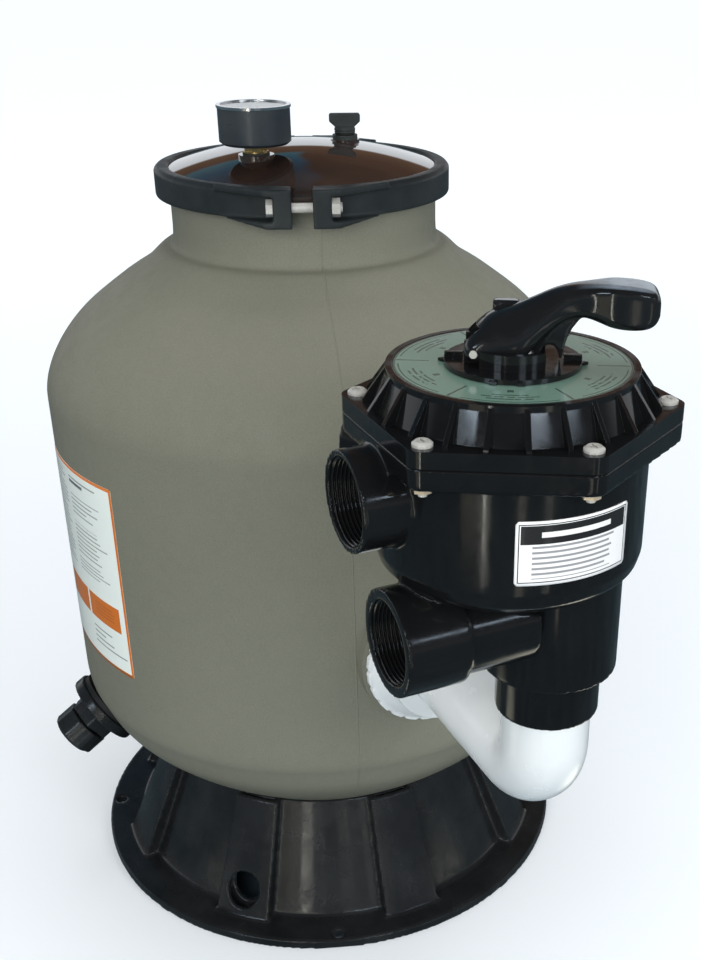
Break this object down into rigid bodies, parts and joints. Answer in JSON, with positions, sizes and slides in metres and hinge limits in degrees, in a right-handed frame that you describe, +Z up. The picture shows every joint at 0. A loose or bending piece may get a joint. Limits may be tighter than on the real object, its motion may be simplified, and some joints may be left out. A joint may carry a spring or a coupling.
{
  "type": "sand filter tank",
  "caption": "Upright pool sand filter: moulded tank on a skirted base, clamped domed lid with gauge and air relief, side-mounted selector valve, union-joined elbow and drain.",
  "frame": {"origin": "tank axis at the floor plane under the base flange", "axes": "+Z up along the tank axis, -Y towards the front where the clamp split shows, +X to the right; the valve frame is turned 19.5 degrees about the tank axis"},
  "size_m": [0.4318, 0.6404, 0.6248],
  "materials": {
    "tank_shell": "fine orange-peel",
    "base_black": "satin gloss",
    "lid_smoke": "clear smoked",
    "clamp_black": "fine grain",
    "valve_black": "moulded gloss",
    "white_pvc": "smooth",
    "rubber_black": "matte",
    "steel": "machined",
    "brass": "machined",
    "gauge_case_black": "satin",
    "chrome_bezel": "polished",
    "gauge_glass": "clear",
    "dial_white": "matte",
    "needle_black": "matte",
    "plate_green": "satin film",
    "fitting_black": "moulded",
    "inner_grey": "moulded"
  },
  "bodies": {
    "tank": {"tank_shell": "tank_shell", "base_skirt": "base_black", "lid_dome": "lid_smoke", "clamp_half_left": "clamp_black", "clamp_half_right": "clamp_black", "valve_body": "valve_black", "valve_cover": "valve_black", "upper_union_nut": "valve_black", "upper_tailpiece": "valve_black", "elbow_pipe": "white_pvc", "lower_union_nut": "white_pvc", "lower_bulkhead": "white_pvc", "upper_bulkhead": "white_pvc", "lid_oring": "rubber_black", "cover_oring": "rubber_black", "stem_oring": "rubber_black", "spider_gasket": "rubber_black", "lower_union_oring": "rubber_black", "upper_union_oring": "rubber_black", "lower_gasket": "rubber_black", "upper_gasket": "rubber_black", "drain_gasket": "rubber_black", "gauge_seal": "rubber_black", "clamp_bolts": "steel", "clamp_nuts": "steel", "cover_screws": "steel", "cover_nuts": "steel", "rotor_spring": "steel", "gauge_stem": "brass", "gauge_locknut": "brass", "gauge_movement": "brass", "gauge_case": "gauge_case_black", "gauge_bezel": "chrome_bezel", "gauge_glass": "gauge_glass", "gauge_dial": "dial_white", "index_plate": "plate_green", "relief_body": "fitting_black", "relief_locknut": "fitting_black", "drain_bulkhead": "fitting_black", "drain_locknut": "fitting_black", "lower_locknut": "fitting_black", "upper_locknut": "fitting_black", "thrust_washer": "inner_grey", "standpipe": "inner_grey", "lateral_hub": "inner_grey", "laterals": "inner_grey", "feed_pipe": "inner_grey", "diffuser_head": "inner_grey", "air_bleed_tube": "inner_grey"},
    "hub": {"handle_hub": "valve_black", "handle_pin": "steel"},
    "lever": {"valve_lever": "valve_black"},
    "rotor": {"rotor": "inner_grey", "stem_pin": "steel"},
    "needle": {"gauge_needle": "needle_black"},
    "relief_ring": {"relief_oring": "rubber_black"},
    "relief_knob": {"relief_knob": "fitting_black"},
    "drain_washer": {"drain_cap_gasket": "rubber_black"},
    "drain_cap": {"drain_cap": "fitting_black"}
  },
  "joints": [
    {"name": "selector_turn", "type": "hinge", "parent": "tank", "child": "hub", "pos_m": [0.10191, -0.35218, 0.54], "axis": [0, 0, 1], "continuous": true},
    {"name": "lever_lift", "type": "hinge", "parent": "hub", "child": "lever", "pos_m": [0.08273, -0.34863, 0.5455], "axis": [-0.1822, -0.9833, 0], "range_deg": [0, 15]},
    {"name": "rotor_lift", "type": "slide", "parent": "hub", "child": "rotor", "axis": [0, 0, 1], "range_m": [0, 0.0052], "deforming": ["rotor_spring"]},
    {"name": "gauge_needle_swing", "type": "hinge", "parent": "tank", "child": "needle", "pos_m": [-0.032, -0.042, 0.6135], "axis": [0, 0, 1], "range_deg": [-270, 0]},
    {"name": "relief_rise", "type": "slide", "parent": "tank", "child": "relief_ring", "axis": [0, 0, 1], "range_m": [0, 0.00225]},
    {"name": "relief_turn", "type": "hinge", "parent": "relief_ring", "child": "relief_knob", "pos_m": [0.032, 0.008, 0.6], "axis": [0, 0, 1], "range_deg": [0, 545]},
    {"name": "drain_back_off", "type": "slide", "parent": "tank", "child": "drain_washer", "axis": [-0.7796, -0.2162, -0.5878], "range_m": [0, 0.0092]},
    {"name": "drain_cap_turn", "type": "hinge", "parent": "drain_washer", "child": "drain_cap", "pos_m": [-0.18502, -0.05131, 0.147], "axis": [-0.7796, -0.2162, -0.5878], "range_deg": [0, 1080]}
  ],
  "couplings": [
    {"joint": "rotor_lift", "follows": "lever_lift", "m_per_rad": 0.0195},
    {"joint": "relief_turn", "follows": "relief_rise", "rad_per_m": 4188.8},
    {"joint": "drain_back_off", "follows": "drain_cap_turn", "m_per_rad": 0.00047746}
  ]
}
